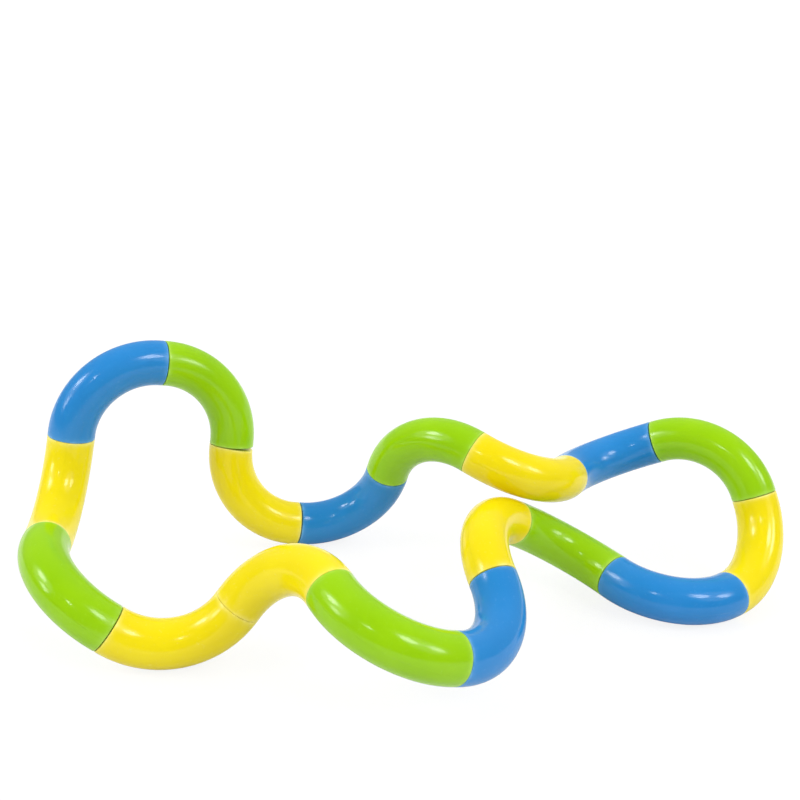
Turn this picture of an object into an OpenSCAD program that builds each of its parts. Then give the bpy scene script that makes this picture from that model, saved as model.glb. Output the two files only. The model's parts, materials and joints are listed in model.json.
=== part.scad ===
// Twisty snake puzzle: a closed loop of hollow quarter-ring elbows that turn on swivel pins.
// The elbows are numbered round the loop. Seam k lies between elbow k and elbow k + 1.
// Every length is in millimetres and every angle in degrees.

/* [Tube] */
// Outside diameter of the tube
tube_d = 11; // [10:0.1:12]
// Seam to corner distance of an elbow, which is its bend radius plus one straight collar
bend_r = 19.7; // [18:0.1:24]
// Wall thickness of the half shells
wall = 1.3; // [1:0.1:1.8]
// Length of the straight collar at each end of an elbow
collar = 0.75; // [0.7:0.05:1.5]
// Rounding of an elbow's end rims
rim_r = 0.2; // [0.1:0.05:0.3]

/* [Seams] */
// Gap between two elbows that turn on each other
seam_gap = 0.16; // [0.12:0.02:0.4]
// Gap at the opened seam, wide enough for its two ends to swing past each other
open_gap = 0.8; // [0.78:0.02:0.9]

/* [Swivel pins] */
// Diameter of a pin's shaft
pin_d = 5; // [4:0.1:5.4]
// Radial clearance between a shaft and the hole that turns on it
pin_clearance = 0.05; // [0.02:0.01:0.1]
// Diameter of a pin's two heads
head_d = 7.2; // [6.6:0.1:7.4]
// Thickness of a pin's heads
head_t = 1.1; // [0.8:0.1:1.4]
// Bevel on the edges of a pin's heads
head_bevel = 0.3; // [0.1:0.1:0.5]
// Axial play between a head and the end wall that turns under it
head_play = 0.1; // [0.05:0.05:0.3]
// Diameter of the hole along a pin
pin_bore = 2; // [1.5:0.5:3]
// Thickness of the end walls that the pins pass through
end_wall = 1.2; // [1:0.1:1.5]
// Depth of the end walls below the elbow's end rim
end_recess = 0.15; // [0.1:0.05:0.3]

/* [Pose] */
// Twist of each seam: 0 curls on round the same ring, 180 bends back in an S
twist = [-7, -170, 28, 137, 73, 134, 85, -61, 54, -150, -30, -168, 22, 104, 118, 89, -117, 109]; // [-180:1:180]
// Heading of the first elbow's start, before the loop is levelled
first_heading = [0.13, 0.15, 0.98]; // [-1:0.01:1]
// Heading of the first elbow's end, before the loop is levelled
first_bend = [0.88, 0.43, -0.2]; // [-1:0.01:1]

/* [Hidden] */
BLUE = "dodgerblue";
GREEN = "yellowgreen";
YELLOW = "gold";
PIN_GREY = "dimgray";
colours = [
    BLUE, GREEN, YELLOW, BLUE, GREEN, YELLOW, BLUE, GREEN, YELLOW,
    BLUE, GREEN, YELLOW, BLUE, GREEN, YELLOW, YELLOW, GREEN, YELLOW
];
count = len(colours);
tube_r = tube_d / 2;
bore_r = tube_r - wall;
arc_r = bend_r - collar;
pin_r = pin_d / 2;
head_r = head_d / 2;
// How far an end wall's edge is buried in the tube wall
wall_bite = 0.4;
// Elbows whose lowest points carry the loop, in three groups
feet = [[3, 4], [9, 10], [16]];
// The seam where the loop is opened, so that its elbows form a chain of bodies
open_seam = 16;
level_passes = 5;
closing_passes = 6;
solver_steps = 16;
$fn = 96;

function two_digits(k) = k < 10 ? str("0", k) : str(k);
function half_name(k, side) = str("elbow_", two_digits(k), "_half_", side);
function pin_name(k) = str("swivel_pin_", two_digits(k));

function unit(v) = v / norm(v);
function gap_at(seam) = seam == open_seam ? open_gap : seam_gap;

// An elbow's frame is [start point, start tangent, end tangent].
first_x = unit(first_heading);
first_y = unit(first_bend - (first_bend * first_x) * first_x);
first_frame = [[0, 0, 0], first_x, first_y];

function next_frame(f, turn) =
    [
        f[0] + bend_r * (f[1] + f[2]),
        f[2],
        sin(turn) * cross(f[1], f[2]) - cos(turn) * f[1]
    ];

// The frames of all elbows, and after them the frame that must meet the first one again
function chain(turns, f = first_frame, k = 0) =
    k == len(turns) ? [f] : concat([f], chain(turns, next_frame(f, turns[k]), k + 1));

// What moves and turns the loop's loose end onto its start
function rotation_between(f, g) =
    (cross(f[1], g[1]) + cross(f[2], g[2])
    + cross(cross(f[1], f[2]), cross(g[1], g[2]))) / 2;
function closing_error(fs) =
    concat((fs[0][0] - fs[count][0]) / bend_r, rotation_between(fs[count], fs[0]));

// How the loose end moves when each seam turns: one row of six numbers for each seam
function seam_effects(fs) =
    [
        for (k = [1:count])
            concat(cross(fs[k][1], fs[count][0] - fs[k][0]) / bend_r, fs[k][1])
    ];

// The combination x of the rows that makes up the error, by conjugate gradients
function solve(rows, x, rest, step, n) =
    n == 0 || norm(rest) < 1e-12 ? x :
    let (
        image = (rows * step) * rows,
        share = (rest * rest) / (step * image),
        left = rest - share * image,
        carry = (left * left) / (rest * rest)
    )
    solve(rows, x + share * step, left, left + carry * step, n - 1);

// The smallest change of the twists that closes the loop, applied a few times
function close_loop(turns, n) =
    n == 0 ? turns :
    let (
        fs = chain(turns),
        rows = seam_effects(fs),
        error = closing_error(fs),
        x = solve(rows, 0 * error, error, error, solver_steps)
    )
    close_loop(turns + (rows * x) * 180 / PI, n - 1);

// Points along the centreline of the elbow with frame f, and the tangents there
function arc_point(f, a) =
    f[0] + collar * f[1] + arc_r * (sin(a) * f[1] + (1 - cos(a)) * f[2]);
function arc_tangent(f, a) = cos(a) * f[1] + sin(a) * f[2];
function arc_points(f) = [for (a = [0:1:90]) arc_point(f, a)];

function lowest(points) =
    let (low = min([for (p = points) p[2]]))
    [for (p = points) if (p[2] == low) p][0];
function foot(fs, elbows) = lowest([for (k = elbows) each arc_points(fs[k - 1])]);

// The rotation that turns the upward unit vector n to +Z
function to_vertical(n) =
    [
        [1 - n[0] * n[0] / (1 + n[2]), -n[0] * n[1] / (1 + n[2]), -n[0]],
        [-n[0] * n[1] / (1 + n[2]), 1 - n[1] * n[1] / (1 + n[2]), -n[1]],
        n
    ];
function upward(n) = n[2] < 0 ? -n : n;
function level(fs, n) =
    n == 0 ? fs :
    let (
        p = [for (group = feet) foot(fs, group)],
        turn = to_vertical(upward(unit(cross(p[1] - p[0], p[2] - p[0]))))
    )
    level([for (f = fs) [turn * f[0], turn * f[1], turn * f[2]]], n - 1);

// How far the tubes reach along the row axis with this index, low and high
function reach(fs, axis, side) =
    [
        for (f = fs, a = [0:1:90])
            let (t = arc_tangent(f, a)[axis])
            arc_point(f, a)[axis] + side * tube_r * sqrt(max(0, 1 - t * t))
    ];
function low_reach(fs, axis) = min(reach(fs, axis, -1));
function middle(fs, axis) = (low_reach(fs, axis) + max(reach(fs, axis, 1))) / 2;

levelled = level(chain(close_loop(twist, closing_passes)), level_passes);
elbows = [for (k = [0:count - 1]) levelled[k]];
origin = [middle(elbows, 0), middle(elbows, 1), low_reach(elbows, 2)];
frames = [for (f = elbows) [f[0] - origin, f[1], f[2]]];

// Places children drawn with the start at the origin along +X and the bend towards +Y
module at_elbow(k) {
    f = frames[k - 1];
    z = cross(f[1], f[2]);
    multmatrix([for (i = [0:2]) [f[1][i], f[2][i], z[i], f[0][i]]])
        children();
}

// Upper half of the tube's cross-section
module half_ring() {
    intersection() {
        difference() {
            circle(tube_r);
            circle(bore_r);
        }
        translate([-tube_r, 0]) square([tube_d, tube_r]);
    }
}

module half_arc() {
    translate([collar, arc_r, 0])
        rotate([0, 0, -90])
            rotate_extrude(angle = 90)
                translate([arc_r, 0]) half_ring();
}

// Section of one end, from the seam plane at 0 inwards: the collar with its rounded rim
module collar_section(gap) {
    rim = gap / 2;
    difference() {
        translate([bore_r, rim]) square([wall, collar - rim]);
        translate([tube_r - rim_r, rim]) square([rim_r, rim_r]);
    }
    intersection() {
        translate([tube_r - rim_r, rim + rim_r]) circle(rim_r);
        translate([tube_r - rim_r, rim]) square([rim_r, rim_r]);
    }
}

// Section of the end wall that a pin passes through
module end_wall_section(gap, hole_r) {
    translate([hole_r, gap / 2 + end_recess])
        square([bore_r + wall_bite - hole_r, end_wall]);
}

module half_end(gap, hole_r) {
    rotate_extrude(angle = 180) {
        collar_section(gap);
        end_wall_section(gap, hole_r);
    }
}

// One of the two shells that are welded together in the plane of the bend
module elbow_half(k, side) {
    seam_before = k == 1 ? count : k - 1;
    color(colours[k - 1])
        at_elbow(k)
            mirror([0, 0, side > 0 ? 0 : 1]) {
                half_arc();
                rotate([90, 0, 90]) half_end(gap_at(seam_before), pin_r + pin_clearance);
                translate([bend_r, bend_r, 0])
                    rotate([90, 0, 0]) half_end(gap_at(k), pin_r);
            }
}

// One head's outline from the shaft outwards and back to the bore
function head_points(seat, side) =
    [
        [pin_r, seat],
        [head_r, seat],
        [head_r, seat + side * (head_t - head_bevel)],
        [head_r - head_bevel, seat + side * head_t],
        [pin_bore / 2, seat + side * head_t]
    ];
function reversed(points) = [for (i = [len(points) - 1:-1:0]) points[i]];

// Section of a pin along its axis: elbow k holds the part below 0, elbow k + 1 turns above it
module pin_section(seam) {
    seat = gap_at(seam) / 2 + end_recess + end_wall;
    held_head = reversed(head_points(-seat, -1));
    turning_head = head_points(seat + head_play, 1);
    cut_shaft = [[pin_r, end_wall - seat], [pin_bore / 2, end_wall - seat]];
    polygon(concat(held_head, seam == open_seam ? cut_shaft : turning_head));
}

module swivel_pin(k) {
    color(PIN_GREY)
        at_elbow(k)
            translate([bend_r, bend_r, 0])
                rotate([-90, 0, 0])
                    rotate_extrude() pin_section(k);
}

for (k = [1:count]) {
    elbow_half(k, 1);
    elbow_half(k, -1);
    swivel_pin(k);
}
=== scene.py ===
"""The looks of a twisty snake puzzle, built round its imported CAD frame.

Lengths are in metres, with +Z up and the camera on the -Y side.
"""

import json
import math

import bpy
import numpy as np
from mathutils import Matrix, Vector

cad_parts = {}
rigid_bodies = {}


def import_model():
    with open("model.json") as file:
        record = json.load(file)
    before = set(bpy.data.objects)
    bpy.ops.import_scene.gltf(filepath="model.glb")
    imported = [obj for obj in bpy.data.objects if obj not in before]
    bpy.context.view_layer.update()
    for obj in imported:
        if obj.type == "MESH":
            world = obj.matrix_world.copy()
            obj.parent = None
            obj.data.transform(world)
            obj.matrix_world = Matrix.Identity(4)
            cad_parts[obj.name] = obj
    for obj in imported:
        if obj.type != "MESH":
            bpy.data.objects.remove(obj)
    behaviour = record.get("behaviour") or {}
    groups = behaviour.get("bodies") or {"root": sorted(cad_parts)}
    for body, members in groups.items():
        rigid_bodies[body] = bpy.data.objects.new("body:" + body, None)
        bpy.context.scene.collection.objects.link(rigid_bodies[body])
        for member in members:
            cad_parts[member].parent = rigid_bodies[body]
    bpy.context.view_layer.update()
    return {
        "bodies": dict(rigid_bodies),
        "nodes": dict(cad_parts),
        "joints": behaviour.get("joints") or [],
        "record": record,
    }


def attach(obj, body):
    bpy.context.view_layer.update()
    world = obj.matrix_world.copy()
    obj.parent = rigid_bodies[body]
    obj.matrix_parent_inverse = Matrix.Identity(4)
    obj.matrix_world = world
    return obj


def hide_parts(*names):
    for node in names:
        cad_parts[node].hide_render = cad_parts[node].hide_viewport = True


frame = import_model()

MM = 0.001

# The tube and its ends
TUBE_R = 5.5 * MM
BORE_R = 4.2 * MM
COLLAR = 0.75 * MM
RIM_R = 0.2 * MM
TIGHT_RIM_R = 0.12 * MM
END_RECESS = 0.15 * MM
END_WALL = 1.2 * MM
START_HOLE_R = 2.55 * MM
END_HOLE_R = 2.5 * MM
PARTING_GROOVE = 0.02 * MM

# The gaps at the seams, as the photograph shows them
SEAM_GAP = 0.16 * MM
TIGHT_GAP = 0.07 * MM
WIDE_GAP = 0.26 * MM
OPEN_GAP = 0.22 * MM
TIGHT_SEAMS = (5, 6, 9, 13, 14, 15, 17, 18)
WIDE_SEAMS = (3, 7)

# The seam that stands slightly ajar: how far its wedge opens, how deep it reaches, on which
# side, and how quickly it narrows away from that side
AJAR_SEAM = 2
AJAR_WIDTH = 0.9 * MM
AJAR_REACH = 2.5 * MM
AJAR_SIDE = (1.0, 0.0, 0.0)
AJAR_POWER = 3

# How finely the surfaces are divided
ARC_STEPS = 60
ROUND_STEPS = 48
RIM_STEPS = 5
SHARP_ANGLE = math.radians(38)

# How far the burnished band, which also carries a painted rim highlight, reaches from an end
# rim
WEAR_AND_HIGHLIGHT_REACH = 0.45 * MM

# The plastics' colours in linear RGB: deep, bright and, for the elbows, a pale worn colour that
# also paints a highlight on the rims
BLUE = ((0.016, 0.215, 0.545), (0.024, 0.238, 0.595), (0.16, 0.42, 0.76))
GREEN = ((0.272, 0.555, 0.001), (0.308, 0.60, 0.002), (0.46, 0.74, 0.12))
YELLOW = ((0.815, 0.66, 0.002), (0.85, 0.705, 0.004), (0.94, 0.86, 0.30))
# The pins' dark grey is a guess that also paints shade into the seam gaps, where the pins show
# through
PIN_GREY_SEAM_SHADE = ((0.035, 0.035, 0.038), (0.055, 0.055, 0.06))

# Layers of noise: scale per metre, detail, roughness, the noise values between which the
# layer changes, and what it changes between
CLOUDS = (70, 3, 0.5, (0.3, 0.7), (0, 1))
SPECKS = (1400, 2, 0.5, (0.62, 0.8), (0, 0.15))
RIM_PATCHES = (400, 3, 0.5, (0.35, 0.65), (0.2, 0.7))
SMEARS = (110, 3, 0.5, (0.35, 0.7), (0.12, 0.19))
SCUFFS = (260, 5, 0.65, (0.55, 0.8), (0, 1))
PIN_CLOUDS = (300, 3, 0.5, (0.3, 0.7), (0, 1))
PIN_SMEARS = (1500, 3, 0.5, (0.3, 0.7), (0.32, 0.5))
SCUFF_STRETCH = (1, 9, 1)
SCUFF_ROUGHNESS = 0.10
WEAR_ROUGHNESS = 0.25

# The fine relief: scale per metre and detail of each noise, and how much each counts
RIPPLE = (160, 2)
GRAIN = (2600, 2)
PIN_GRAIN = (2200, 3)
GRAIN_HEIGHT = 0.02
SCUFF_DEPTH = 0.03
BUMP_STRENGTH = 0.35
BUMP_HEIGHT = 0.04 * MM
PIN_BUMP_STRENGTH = 0.3
PIN_BUMP_HEIGHT = 0.02 * MM

# How the elbows' plastic takes light
PLASTIC_IOR = 1.5
PLASTIC_SPECULAR = 0.36
SCATTER_SHARE = 0.12
SCATTER_RADIUS = (1.0, 1.0, 1.0)
SCATTER_SCALE = 0.8 * MM

# The camera: where it stands, and its heading, tilt and roll in degrees
CAMERA_PLACE = (-2.6 * MM, -216.2 * MM, 144.0 * MM)
CAMERA_HEADING = -0.84
CAMERA_TILT = -22.33
CAMERA_ROLL = 2.27
CAMERA_LENS = 48.2
CAMERA_CLIP_START = 0.01

# Lamps: name, azimuth from the camera's side, elevation and apparent size in degrees, W/m2
LAMPS = [
    ("left_softbox_high", -75, 40, 14, 0.58),
    ("left_softbox_low", -64, 22, 12, 0.28),
    ("left_softbox", -71, 34, 36, 0.40),
    ("right_softbox_high", 48, 50, 15, 0.56),
    ("right_softbox_low", 70, 35, 14, 0.38),
    ("right_softbox", 60, 42, 40, 0.40),
    ("small_lamp", -18, 43, 5, 0.13),
]

# The surround: its strength at the front and at the back, the direction's y at which each
# is reached, and how much of it a reflection shows
FRONT_STRENGTH = 0.50
BACK_STRENGTH = 1.78
FRONT_EDGE = -0.2
BACK_EDGE = 1
GLOSSY_SHARE = 0.25
BACKDROP_STRENGTH = 1

# The floor
FLOOR_SIZE = 200.0
FLOOR_WHITE = 0.75
FLOOR_ROUGHNESS = 0.9
FLOOR_GLOW = 0.3
FLOOR_SEE_THROUGH = 0.8


# ---- the elbows' places, from the joints ----

COUNT = len(frame["bodies"])


def seam_before(k):
    return (k - 2) % COUNT + 1


def seam_after(k):
    return k % COUNT + 1


def seam_lines():
    """Each seam's point on the centreline and the tube's direction there, by seam number.

    The opened seam has no joint, so its place follows from the elbows on its two sides.
    """
    points = {}
    axes = {}
    for joint in frame["joints"]:
        seam = int(joint["name"].split("_")[1])
        points[seam] = np.array(joint["pos_m"])
        axes[seam] = np.array(joint["axis"]) / np.linalg.norm(joint["axis"])
    for seam in points:
        if seam_after(seam) in points:
            step = points[seam_after(seam)] - points[seam]
        else:
            step = points[seam] - points[seam_before(seam)]
        if step @ axes[seam] < 0:
            axes[seam] = -axes[seam]
    opened = next(k for k in range(1, COUNT + 1) if k not in points)
    a, b = seam_before(opened), seam_after(opened)
    bend = np.linalg.norm(points[b] - points[seam_after(b)]) / math.sqrt(2)
    middle = ((points[b] - points[a]) / bend - axes[a] - axes[b]) / 2
    axes[opened] = middle / np.linalg.norm(middle)
    points[opened] = points[a] + bend * (axes[a] + axes[opened])
    return points, axes, opened, bend


SEAM_POINTS, SEAM_AXES, OPEN_SEAM, BEND_R = seam_lines()
ARC_R = BEND_R - COLLAR
PATH_LENGTH = 2 * COLLAR + ARC_R * math.pi / 2


def seam_fit(seam):
    """The gap and the rim radius at a seam."""
    if seam in TIGHT_SEAMS:
        return TIGHT_GAP, TIGHT_RIM_R
    if seam in WIDE_SEAMS:
        return WIDE_GAP, RIM_R
    return (OPEN_GAP if seam == OPEN_SEAM else SEAM_GAP), RIM_R


# ---- the half shells ----

def path_places(k, distances):
    """Centres and outward directions at distances along elbow k's centreline."""
    start = SEAM_POINTS[seam_before(k)]
    x, y = SEAM_AXES[seam_before(k)], SEAM_AXES[k]
    d = np.asarray(distances)[:, None]
    angle = np.clip((d - COLLAR) / ARC_R, 0, math.pi / 2)
    lead_in = np.minimum(d, COLLAR)
    lead_out = np.maximum(d - COLLAR - ARC_R * math.pi / 2, 0)
    centres = (
        start
        + lead_in * x
        + ARC_R * (np.sin(angle) * x + (1 - np.cos(angle)) * y)
        + lead_out * y
    )
    return centres, np.sin(angle) * x - np.cos(angle) * y


def rim_points(gap, rim_r):
    """One end's rounded rim, from the tube's side to the end face: distance and radius."""
    return [
        (gap / 2 + rim_r * (1 - math.sin(t)), TUBE_R - rim_r * (1 - math.cos(t)))
        for t in np.linspace(0, math.pi / 2, RIM_STEPS)
    ]


def end_points(gap, hole_r):
    """The inside of one end, from the rim inwards: end face, recess, end wall and bore."""
    face = gap / 2
    front = face + END_RECESS
    back = front + END_WALL
    return [(face, BORE_R), (front, BORE_R), (front, hole_r), (back, hole_r), (back, BORE_R)]


def shell_profile(k):
    """A shell's closed section, as distances and radii, and how many points lie outside."""
    start_gap, start_rim_r = seam_fit(seam_before(k))
    end_gap, end_rim_r = seam_fit(k)
    stations = np.linspace(0, math.pi / 2, ARC_STEPS + 1) * ARC_R + COLLAR
    start_rim = rim_points(start_gap, start_rim_r)[::-1]
    end_rim = [(PATH_LENGTH - d, r) for d, r in rim_points(end_gap, end_rim_r)]
    outside = start_rim + [(d, TUBE_R) for d in stations] + end_rim
    end_inside = [(PATH_LENGTH - d, r) for d, r in end_points(end_gap, END_HOLE_R)]
    bore = [(d, BORE_R) for d in stations[::-2]][1:-1]
    start_inside = end_points(start_gap, START_HOLE_R)[::-1]
    return np.array(outside + end_inside + bore + start_inside), len(outside)


def ajar_shift(k, ring, centres, distances):
    """How far the start of the elbow after the ajar seam is cut back."""
    if seam_before(k) != AJAR_SEAM:
        return 0
    side = (ring - centres) @ np.array(AJAR_SIDE) / TUBE_R
    share = ((1 + side) / 2) ** AJAR_POWER * np.maximum(1 - distances / AJAR_REACH, 0)
    return AJAR_WIDTH * share[:, None] * SEAM_AXES[AJAR_SEAM]


def build_shell(k, side, name):
    """One half shell of elbow k as a closed mesh, on one side (1 or -1) of its bend plane."""
    profile, outside_count = shell_profile(k)
    distances, radii = profile[:, 0], profile[:, 1]
    centres, outward = path_places(k, distances)
    across = side * np.cross(SEAM_AXES[seam_before(k)], SEAM_AXES[k])
    groove_turn = PARTING_GROOVE / TUBE_R
    turns = np.concatenate([
        [0, groove_turn],
        np.linspace(0, math.pi, ROUND_STEPS + 1)[1:-1],
        [math.pi - groove_turn, math.pi],
    ])
    outer = np.arange(len(profile)) < outside_count
    rings = []
    for i, turn in enumerate(turns):
        cut = PARTING_GROOVE if i in (0, len(turns) - 1) else 0
        r = (radii - cut * outer)[:, None]
        ring = centres + r * (math.cos(turn) * outward + math.sin(turn) * across)
        rings.append(ring + ajar_shift(k, ring, centres, distances))
    points = np.concatenate(rings)
    loop = len(profile)
    faces = []
    for i in range(len(turns) - 1):
        for j in range(loop):
            a, b = i * loop + j, i * loop + (j + 1) % loop
            quad = (a, b, b + loop, a + loop)
            faces.append(quad if side < 0 else quad[::-1])
    first = tuple(range(loop))
    last = tuple(range(len(points) - loop, len(points)))
    faces += [first[::-1], last] if side < 0 else [first, last[::-1]]
    mesh = bpy.data.meshes.new(name)
    mesh.from_pydata(points.tolist(), [], faces)
    mesh.validate()
    mesh.polygons.foreach_set("use_smooth", [True] * len(mesh.polygons))
    mesh.set_sharp_from_angle(angle=SHARP_ANGLE)
    add_surface_data(mesh, distances, turns, side)
    piece = bpy.data.objects.new(name, mesh)
    bpy.context.scene.collection.objects.link(piece)
    return piece


def add_surface_data(mesh, distances, turns, side):
    """Stores each point's place along and around the tube, and how close a rim is, for the
    rims' wear and painted highlight.
    """
    along = np.tile(distances, len(turns))
    around = np.repeat(turns * side * TUBE_R, len(distances))
    near = np.minimum(along, PATH_LENGTH - along)
    # Rim band: burnished wear and a painted highlight on the rounded rims
    wear_highlight_mask = np.exp(-np.maximum(near - RIM_R, 0) / WEAR_AND_HIGHLIGHT_REACH)
    place = np.stack([along, around, np.zeros_like(along)], axis=1)
    tube_place = mesh.attributes.new("tube_place", "FLOAT_VECTOR", "POINT")
    tube_place.data.foreach_set("vector", place.ravel())
    mesh.attributes.new("rim_wear_and_highlight", "FLOAT", "POINT").data.foreach_set("value", wear_highlight_mask)


# ---- shader nodes ----

class Nodes:
    """The shader nodes of a material or a world. Values may be numbers, colours or sockets."""

    def __init__(self, owner):
        owner.use_nodes = True
        self.tree = owner.node_tree

    def find(self, kind):
        return next(n for n in self.tree.nodes if n.type == kind)

    def feed(self, slot, value):
        """Sets a socket's own value, or links another node's output to it."""
        if isinstance(value, bpy.types.NodeSocket):
            self.tree.links.new(value, slot)
        elif slot.type == "RGBA":
            slot.default_value = (*value, 1)
        else:
            slot.default_value = value

    def add(self, kind, inputs=None, **settings):
        node = self.tree.nodes.new(kind)
        for name, value in settings.items():
            setattr(node, name, value)
        for name, value in (inputs or {}).items():
            self.feed(node.inputs[name], value)
        return node

    def remap(self, value, low_high, to_low_high):
        inputs = {
            "Value": value,
            "From Min": low_high[0],
            "From Max": low_high[1],
            "To Min": to_low_high[0],
            "To Max": to_low_high[1],
        }
        return self.add("ShaderNodeMapRange", inputs).outputs["Result"]

    def noise(self, place, scale, detail, roughness=0.5):
        inputs = {"Vector": place, "Scale": scale, "Detail": detail, "Roughness": roughness}
        return self.add("ShaderNodeTexNoise", inputs).outputs["Fac"]

    def layer(self, place, scale, detail, roughness, low_high, to_low_high):
        return self.remap(self.noise(place, scale, detail, roughness), low_high, to_low_high)

    def calculate(self, operation, a, b):
        inputs = {0: a, 1: b}
        return self.add("ShaderNodeMath", inputs, operation=operation).outputs["Value"]

    def blend_colours(self, share, a, b):
        # A colour mix keeps its factor and its two colours in these inputs and output
        inputs = {0: share, 6: a, 7: b}
        return self.add("ShaderNodeMix", inputs, data_type="RGBA").outputs[2]

    def bump(self, height, strength, distance):
        inputs = {"Height": height, "Strength": strength, "Distance": distance}
        return self.add("ShaderNodeBump", inputs).outputs["Normal"]


# ---- materials ----

def glossy_plastic(name, deep, bright, worn_and_highlight):
    """Moulded plastic: clouded colour, scuffs along the tube, burnished rims with a painted
    highlight, and a ripple.
    """
    material = bpy.data.materials.new(name)
    nodes = Nodes(material)
    shader = nodes.find("BSDF_PRINCIPLED")
    place = nodes.add("ShaderNodeTexCoord").outputs["Object"]
    tube = nodes.add("ShaderNodeAttribute", attribute_name="tube_place").outputs["Vector"]
    wear_highlight_mask = nodes.add("ShaderNodeAttribute", attribute_name="rim_wear_and_highlight").outputs["Fac"]

    specks = nodes.layer(place, *SPECKS)
    # Near the rims the colour turns pale: burnished wear, and a painted highlight on the
    # rounded rims
    patches = nodes.calculate("MULTIPLY", wear_highlight_mask, nodes.layer(place, *RIM_PATCHES))
    colour = nodes.blend_colours(nodes.layer(place, *CLOUDS), deep, bright)
    colour = nodes.blend_colours(specks, colour, worn_and_highlight)
    colour = nodes.blend_colours(patches, colour, worn_and_highlight)
    nodes.feed(shader.inputs["Base Color"], colour)

    stretch = nodes.add("ShaderNodeMapping", {"Vector": tube, "Scale": SCUFF_STRETCH})
    scuffs = nodes.layer(stretch.outputs["Vector"], *SCUFFS)
    scuffed = nodes.calculate("MULTIPLY", scuffs, SCUFF_ROUGHNESS)
    rubbed = nodes.calculate("MULTIPLY", patches, WEAR_ROUGHNESS)
    rough = nodes.calculate("ADD", nodes.layer(place, *SMEARS), scuffed)
    nodes.feed(shader.inputs["Roughness"], nodes.calculate("ADD", rough, rubbed))

    grain = nodes.calculate("MULTIPLY", nodes.noise(place, *GRAIN), GRAIN_HEIGHT)
    scratches = nodes.calculate("MULTIPLY", scuffs, SCUFF_DEPTH)
    height = nodes.calculate("ADD", nodes.noise(place, *RIPPLE), grain)
    height = nodes.calculate("SUBTRACT", height, scratches)
    nodes.feed(shader.inputs["Normal"], nodes.bump(height, BUMP_STRENGTH, BUMP_HEIGHT))

    shader.inputs["IOR"].default_value = PLASTIC_IOR
    shader.inputs["Specular IOR Level"].default_value = PLASTIC_SPECULAR
    shader.inputs["Subsurface Weight"].default_value = SCATTER_SHARE
    shader.inputs["Subsurface Radius"].default_value = SCATTER_RADIUS
    shader.inputs["Subsurface Scale"].default_value = SCATTER_SCALE
    return material


def pin_plastic(name, deep, bright):
    """Dark, lightly matt plastic of the swivel pins, whose guessed darkness paints shade into
    the seam gaps.
    """
    material = bpy.data.materials.new(name)
    nodes = Nodes(material)
    shader = nodes.find("BSDF_PRINCIPLED")
    place = nodes.add("ShaderNodeTexCoord").outputs["Object"]
    colour = nodes.blend_colours(nodes.layer(place, *PIN_CLOUDS), deep, bright)
    grain = nodes.noise(place, *PIN_GRAIN)
    nodes.feed(shader.inputs["Base Color"], colour)
    nodes.feed(shader.inputs["Roughness"], nodes.layer(place, *PIN_SMEARS))
    nodes.feed(shader.inputs["Normal"], nodes.bump(grain, PIN_BUMP_STRENGTH, PIN_BUMP_HEIGHT))
    return material


LOOKS = {
    "blue_plastic": glossy_plastic("blue_look", *BLUE),
    "green_plastic": glossy_plastic("green_look", *GREEN),
    "yellow_plastic": glossy_plastic("yellow_look", *YELLOW),
    "pin_plastic": pin_plastic("pin_plastic_seam_shade_look", *PIN_GREY_SEAM_SHADE),
}


# ---- the pieces ----

def make_pieces():
    """Gives the CAD's pins their look, and puts a visual shell in each half shell's place."""
    for part in frame["record"]["subparts"]:
        node, slot = part["node"], part["material_slot"]
        if node.startswith("swivel_pin"):
            mesh = frame["nodes"][node].data
            mesh.materials.clear()
            mesh.materials.append(LOOKS[slot])
            continue
        number, half = node.split("_")[1], node[-1]
        side = 1 if half == "a" else -1
        piece = build_shell(int(number), side, f"elbow_{number}_shell_{half}")
        piece.data.materials.append(LOOKS[slot])
        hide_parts(node)
        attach(piece, f"segment_{number}")


make_pieces()


# ---- the studio ----

def make_floor():
    """A white floor at z = 0.

    It is clear from below and mostly clear to the camera, so that a chain that swings under
    it in a pose still shows.
    """
    half = FLOOR_SIZE / 2
    corners = [(-half, -half, 0), (half, -half, 0), (half, half, 0), (-half, half, 0)]
    mesh = bpy.data.meshes.new("floor")
    mesh.from_pydata(corners, [], [(0, 1, 2, 3)])
    floor = bpy.data.objects.new("floor", mesh)
    bpy.context.scene.collection.objects.link(floor)
    material = bpy.data.materials.new("floor_look")
    nodes = Nodes(material)
    shader = nodes.find("BSDF_PRINCIPLED")
    nodes.feed(shader.inputs["Base Color"], (FLOOR_WHITE, FLOOR_WHITE, FLOOR_WHITE))
    nodes.feed(shader.inputs["Roughness"], FLOOR_ROUGHNESS)
    nodes.feed(shader.inputs["Specular IOR Level"], 0.0)
    nodes.feed(shader.inputs["Emission Color"], (1, 1, 1))
    seen = nodes.add("ShaderNodeLightPath").outputs["Is Camera Ray"]
    glow = nodes.remap(seen, (0, 1), (0, FLOOR_GLOW))
    nodes.feed(shader.inputs["Emission Strength"], glow)
    below = nodes.add("ShaderNodeNewGeometry").outputs["Backfacing"]
    clear = nodes.calculate("MAXIMUM", below, nodes.remap(seen, (0, 1), (0, FLOOR_SEE_THROUGH)))
    nothing = nodes.add("ShaderNodeBsdfTransparent").outputs["BSDF"]
    mix = nodes.add("ShaderNodeMixShader", {0: clear, 1: shader.outputs["BSDF"], 2: nothing})
    nodes.feed(nodes.find("OUTPUT_MATERIAL").inputs["Surface"], mix.outputs["Shader"])
    mesh.materials.append(material)


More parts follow.
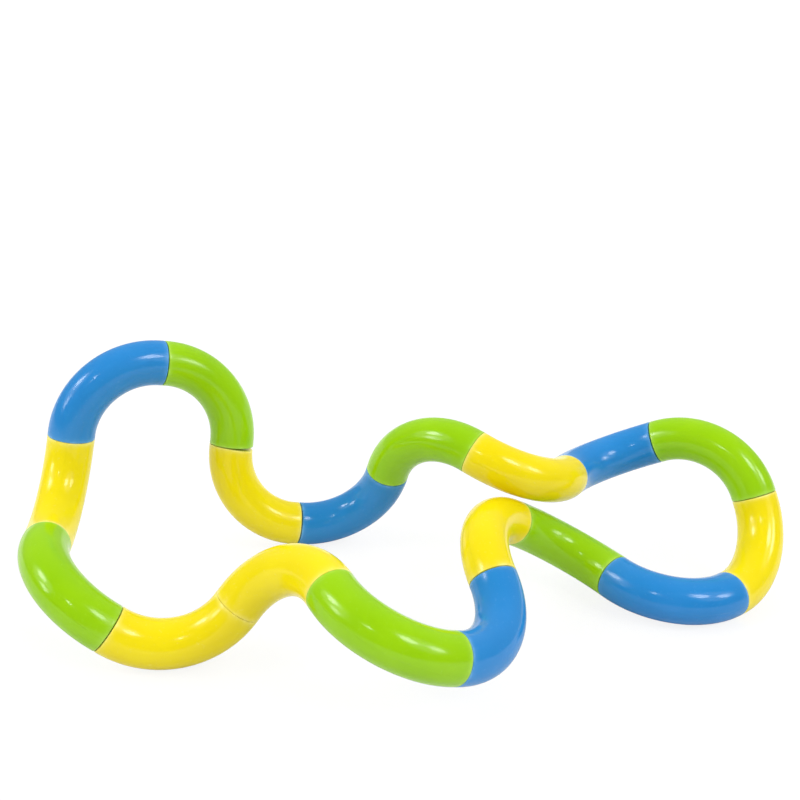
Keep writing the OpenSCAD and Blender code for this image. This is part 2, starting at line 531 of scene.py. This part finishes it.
def make_lamp(name, azimuth, elevation, size, strength):
    """A distant round lamp that shines on the origin. Its apparent size makes it soft."""
    a, e = math.radians(azimuth), math.radians(elevation)
    towards = Vector((math.sin(a) * math.cos(e), -math.cos(a) * math.cos(e), math.sin(e)))
    light = bpy.data.lights.new(name, "SUN")
    light.angle = math.radians(size)
    light.energy = strength
    lamp = bpy.data.objects.new(name, light)
    lamp.location = towards
    lamp.rotation_mode = "QUATERNION"
    lamp.rotation_quaternion = towards.to_track_quat("Z", "Y")
    bpy.context.scene.collection.objects.link(lamp)


def make_world():
    """A white surround, brightest at the back, that the camera sees as an even backdrop."""
    world = bpy.data.worlds.new("studio")
    nodes = Nodes(world)
    background = nodes.find("BACKGROUND")
    nodes.feed(background.inputs["Color"], (1, 1, 1))
    direction = nodes.add("ShaderNodeTexCoord").outputs["Generated"]
    split = nodes.add("ShaderNodeSeparateXYZ", {"Vector": direction})
    path = nodes.add("ShaderNodeLightPath")
    edges = (FRONT_EDGE, BACK_EDGE)
    light = nodes.remap(split.outputs["Y"], edges, (FRONT_STRENGTH, BACK_STRENGTH))
    share = nodes.remap(path.outputs["Is Glossy Ray"], (0, 1), (1, GLOSSY_SHARE))
    light = nodes.calculate("MULTIPLY", light, share)
    seen = path.outputs["Is Camera Ray"]
    strength = nodes.remap(seen, (0, 1), (light, BACKDROP_STRENGTH))
    nodes.feed(background.inputs["Strength"], strength)
    bpy.context.scene.world = world


def make_camera():
    data = bpy.data.cameras.new("camera")
    data.lens = CAMERA_LENS
    data.clip_start = CAMERA_CLIP_START
    camera = bpy.data.objects.new("camera", data)
    turn = (
        Matrix.Rotation(math.radians(-CAMERA_HEADING), 4, "Z")
        @ Matrix.Rotation(math.radians(90 + CAMERA_TILT), 4, "X")
        @ Matrix.Rotation(math.radians(CAMERA_ROLL), 4, "Z")
    )
    camera.matrix_world = Matrix.Translation(CAMERA_PLACE) @ turn
    bpy.context.scene.collection.objects.link(camera)
    bpy.context.scene.camera = camera


make_floor()
for lamp in LAMPS:
    make_lamp(*lamp)
make_world()
make_camera()
bpy.context.scene.view_settings.view_transform = "Standard"
